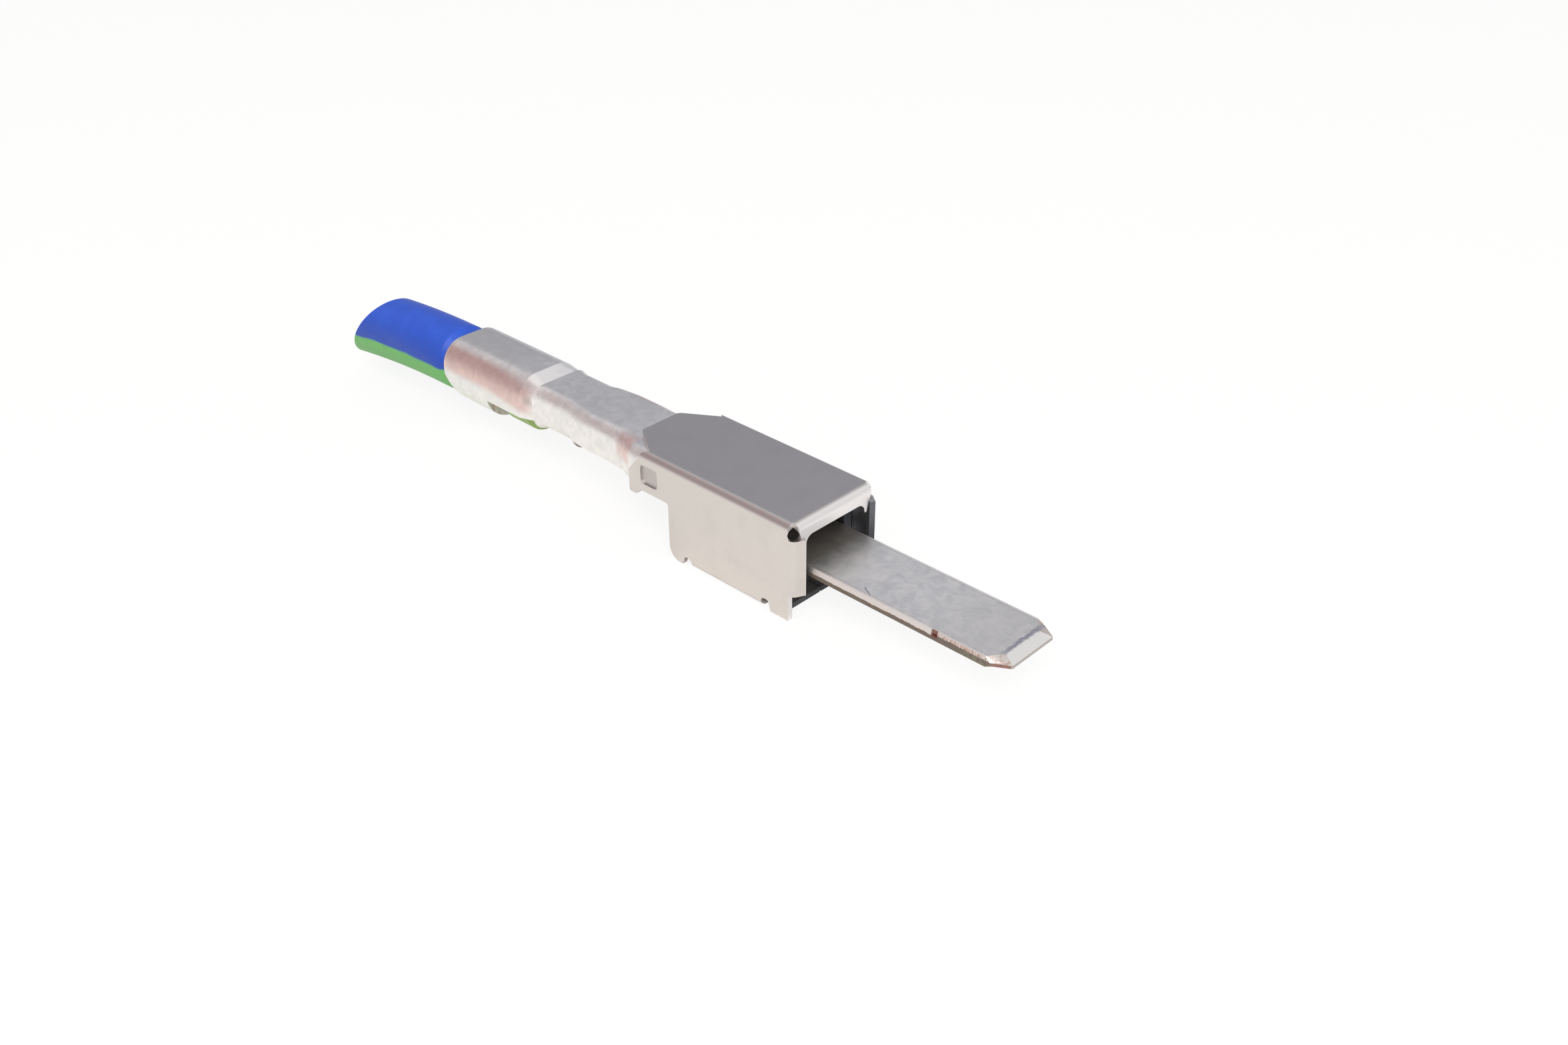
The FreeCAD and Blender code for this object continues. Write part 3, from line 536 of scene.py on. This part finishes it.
def edge_of_cover(face):
    """1 on the cut edges of the cover's flaps, straps and walls."""
    x, y = face.calc_center_median().xy / MM
    nx, ny, nz = face.normal
    if abs(nz) > 0.35:
        return 0
    flap_end = x > FLAP_X and nx > 0.3 and ny * y < -0.2
    return int(flap_end or abs(nx) > 0.9 and near(x, COVER_ENDS))


def edge_of_strip(face):
    """1 on the contact's sheared edges, 0 on its plated faces."""
    x, y, z = face.calc_center_median() / MM
    nx, ny, nz = face.normal
    if x > CORNER_X - 0.05:
        return int(nz < 0.3)
    if NICK_X < x < NICK_X + NICK_L and y < -1.3:
        return 1
    if x > TONGUE_X:
        return int(abs(ny) > 0.9 and abs(y) > BLADE_W / 2 - 0.12)
    if abs(nx) > 0.6 and near(x, WALL_ENDS):
        return 1
    return int(nz < -0.95 and near(z, WALL_LOWS))


def crisp(edge):
    """Limit of the contact's edges: lower at the blade's bevelled tip and across the ends of the ramp."""
    first, last = [corner.co.x / MM for corner in edge.verts]
    at_tip = min(first, last) > CORNER_X - 0.3
    at_ramp = abs(first - last) < 0.02 and near(first, RAMP_ENDS)
    return CRISP if at_tip or at_ramp else SHARP


def cut_face(face):
    """1 on the insulation's slanting cut end."""
    x = face.calc_center_median().x / MM
    return int(x < CUT_X + CUT_DEPTH and face.normal.x < -0.7)


def strand_tree(material):
    """One strand in the middle, six round it and twelve round those, laid with a slow twist."""
    group = bpy.data.node_groups.new("strand_lay", "GeometryNodeTree")
    new_socket = group.interface.new_socket
    new_socket("Geometry", in_out="INPUT", socket_type="NodeSocketGeometry")
    for name in ("Strand diameter", "Front end", "Back end", "Lay length", "Stations"):
        new_socket(name, in_out="INPUT", socket_type="NodeSocketFloat")
    new_socket("Geometry", in_out="OUTPUT", socket_type="NodeSocketGeometry")
    t = Tree(group)
    given = group.nodes.new("NodeGroupInput")
    thick, front, back, lay, stations = [Value(t, given.outputs[i]) for i in range(1, 6)]
    count = t.add("FunctionNodeFloatToInt", None, {0: stations})
    thread = t.add("GeometryNodeMeshLine", None, {"Count": count})
    starts = t.add("GeometryNodeMeshLine", None, {"Count": 1 + INNER_STRANDS + OUTER_STRANDS})
    marked = t.add("GeometryNodeInstanceOnPoints", None, {"Points": starts, "Instance": thread})
    threads = t.add("GeometryNodeRealizeInstances", None, {"Geometry": marked})
    index = t.add("GeometryNodeInputIndex")
    which = (index / stations).math("FLOOR")
    along = (index - which * stations) / (stations - 1.0)
    off_middle = which.step(0.4, 0.6)
    outer = which.step(INNER_STRANDS + 0.4, INNER_STRANDS + 0.6)
    ring = (off_middle + outer) * thick
    inner_turn = which * (2 * math.pi / INNER_STRANDS)
    outer_turn = which * (2 * math.pi / OUTER_STRANDS)
    turn = inner_turn * (1.0 - outer) + outer_turn * outer
    y = ring * turn.math("COSINE")
    z = ring * turn.math("SINE")
    start = back + (y * CUT_SKEW + z * CUT_SLANT)
    x = start + (front - start) * along
    twist = (x - back) / lay * (2 * math.pi) * along.step(0.0, 0.2)
    angle = turn + twist
    centre = WIRE_AXIS_Z - drop_of_wire(x)
    across = ring * angle.math("COSINE")
    up = centre + ring * angle.math("SINE")
    spot = t.vector(x * MM, across * MM, up * MM)
    placed = t.add("GeometryNodeSetPosition", None, {"Geometry": threads, "Position": spot})
    curves = t.add("GeometryNodeMeshToCurve", None, {"Mesh": placed})
    radius = thick * (STRAND_FILL / 2 * MM)
    section = t.add("GeometryNodeCurvePrimitiveCircle", None, {"Resolution": 12, "Radius": radius})
    sweep = {"Curve": curves, "Profile Curve": section, "Fill Caps": True}
    tube = t.add("GeometryNodeCurveToMesh", None, sweep)
    real = t.add("GeometryNodeRealizeInstances", None, {"Geometry": tube})
    painted = t.add("GeometryNodeSetMaterial", None, {"Geometry": real, "Material": material})
    t.add("NodeGroupOutput", None, {0: painted})
    return group


def grown(name, group, values):
    """Plain mesh of a Geometry Nodes tree, with its inputs set by their names."""
    seed = bpy.data.objects.new(name + "_seed", bpy.data.meshes.new(name + "_seed"))
    bpy.context.scene.collection.objects.link(seed)
    modifier = seed.modifiers.new("grow", "NODES")
    modifier.node_group = group
    for item in group.interface.items_tree:
        if item.in_out == "INPUT" and item.name in values:
            modifier[item.identifier] = values[item.name]
    bpy.context.view_layer.update()
    graph = bpy.context.evaluated_depsgraph_get()
    data = bpy.data.meshes.new_from_object(seed.evaluated_get(graph))
    bpy.data.objects.remove(seed)
    return data


def strands(copper):
    """Bare strands: the laid bundle, then the node's own pressed core and brush ahead of it."""
    values = {"Strand diameter": STRAND_D, "Front end": STRAND_FRONT, "Back end": STRAND_BACK}
    values.update({"Lay length": LAY_LENGTH, "Stations": float(STRAND_STATIONS)})
    laid = grown("laid_strands", strand_tree(copper), values)
    mesh = merged("conductor_strands")
    bmesh.ops.bisect_plane(
        mesh,
        geom=mesh.verts[:] + mesh.edges[:] + mesh.faces[:],
        plane_co=(PRESSED_BACK * MM, 0, 0),
        plane_no=(1, 0, 0),
        clear_inner=True,
    )
    holes = [edge for edge in mesh.edges if edge.is_boundary]
    bmesh.ops.holes_fill(mesh, edges=holes)
    mesh.from_mesh(laid)
    made = piece("bare_strands", mesh, [copper])
    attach(made, "root")
    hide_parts("conductor_strands")


def floor():
    """Pale table top, white to the camera but for the object's soft shadow."""
    mesh = bmesh.new()
    bmesh.ops.create_grid(mesh, x_segments=8, y_segments=8, size=TABLE_HALF)
    bmesh.ops.translate(mesh, verts=mesh.verts, vec=(0, 0, -TABLE_DROP))
    f = Finish("pale_table")
    weave = f.noise(f.place, 0.4, 4.0, 0.6)
    colour = f.mix((0.93, 0.915, 0.89, 1), (0.95, 0.935, 0.91, 1), weave)
    matt = f.add("ShaderNodeBsdfDiffuse", None, {"Color": colour})
    glow = f.add("ShaderNodeEmission", None, {"Color": (1, 1, 1, 1), "Strength": 1.0})
    seen = f.add("ShaderNodeLightPath", output="Is Camera Ray") * TABLE_GLOW
    both = f.add("ShaderNodeMixShader", None, {0: seen, 1: matt, 2: glow})
    f.add("ShaderNodeOutputMaterial", None, {0: both})
    piece("table", mesh, [f.material])


def studio():
    """White room for the eye and matt surfaces; metal mirrors its darker corners."""
    world = bpy.data.worlds.new("studio")
    bpy.context.scene.world = world
    world.use_nodes = True
    t = Tree(world.node_tree)
    way = t.add("ShaderNodeTexCoord")
    overhead = t.dot(way, (0, 0, 1)).step(0.5, 0.95)
    colour = t.mix((0.86, 0.84, 0.82, 1), (1.0, 0.99, 0.97, 1), overhead)
    dark = t.dot(way, DARK_SIDE).step(0.79, 0.92)
    colour = t.mix(colour, (0.36, 0.37, 0.43, 1), dark)
    brown = t.dot(way, BROWN_SIDE).step(0.76, 0.93)
    colour = t.mix(colour, (0.46, 0.35, 0.36, 1), brown)
    mirrored = t.add("ShaderNodeLightPath", output="Is Glossy Ray")
    seen = t.add("ShaderNodeLightPath", output="Is Camera Ray")
    colour = t.mix((1, 1, 1, 1), colour, mirrored)
    rest = 1.0 - ROOM_LIGHT
    strength = ROOM_LIGHT + seen * rest + mirrored * rest
    sky = t.add("ShaderNodeBackground", None, {"Color": colour, "Strength": strength})
    t.add("ShaderNodeOutputWorld", None, {0: sky})


def soft_light(name, place, size, power, colour):
    """Round lamp of a given width in metres, aimed at the object."""
    lamp = bpy.data.lights.new(name, "AREA")
    lamp.shape = "DISK"
    lamp.size = size
    lamp.energy = power
    lamp.color = colour
    holder = bpy.data.objects.new(name, lamp)
    bpy.context.scene.collection.objects.link(holder)
    holder.location = place
    holder.rotation_mode = "QUATERNION"
    holder.rotation_quaternion = (Vector(OBJECT_MIDDLE) - Vector(place)).to_track_quat("-Z", "Y")


def camera():
    """Close view from the blade's end, a little from above."""
    turn = Matrix((CAMERA_RIGHT, CAMERA_UP, CAMERA_BACK)).transposed()
    place = turn @ Vector(CAMERA_PLACE) + Vector(CAMERA_MIDDLE)
    data = bpy.data.cameras.new("camera")
    data.sensor_width = SENSOR_W
    data.lens = FOCAL_PIXELS / PICTURE_PIXELS * SENSOR_W
    data.clip_start = 0.001
    data.clip_end = 10.0
    data.dof.use_dof = False
    holder = bpy.data.objects.new("camera", data)
    bpy.context.scene.collection.objects.link(holder)
    holder.matrix_world = Matrix.Translation(place * MM) @ turn.to_4x4()
    bpy.context.scene.camera = holder


dressed("box_cover", [plated_steel(), sheared_steel()], edge_of_cover)
dressed("contact", [tin_plate(), sheared_edge()], edge_of_strip, crisp)
dressed("wire_insulation", [jacket(), cut_jacket()], cut_face)
strands(copper_wire())
floor()
studio()
soft_light("key", place=(0.12, -0.13, 0.18), size=0.16, power=0.55, colour=(1.0, 0.98, 0.95))
camera()
bpy.context.scene.view_settings.view_transform = "Standard"
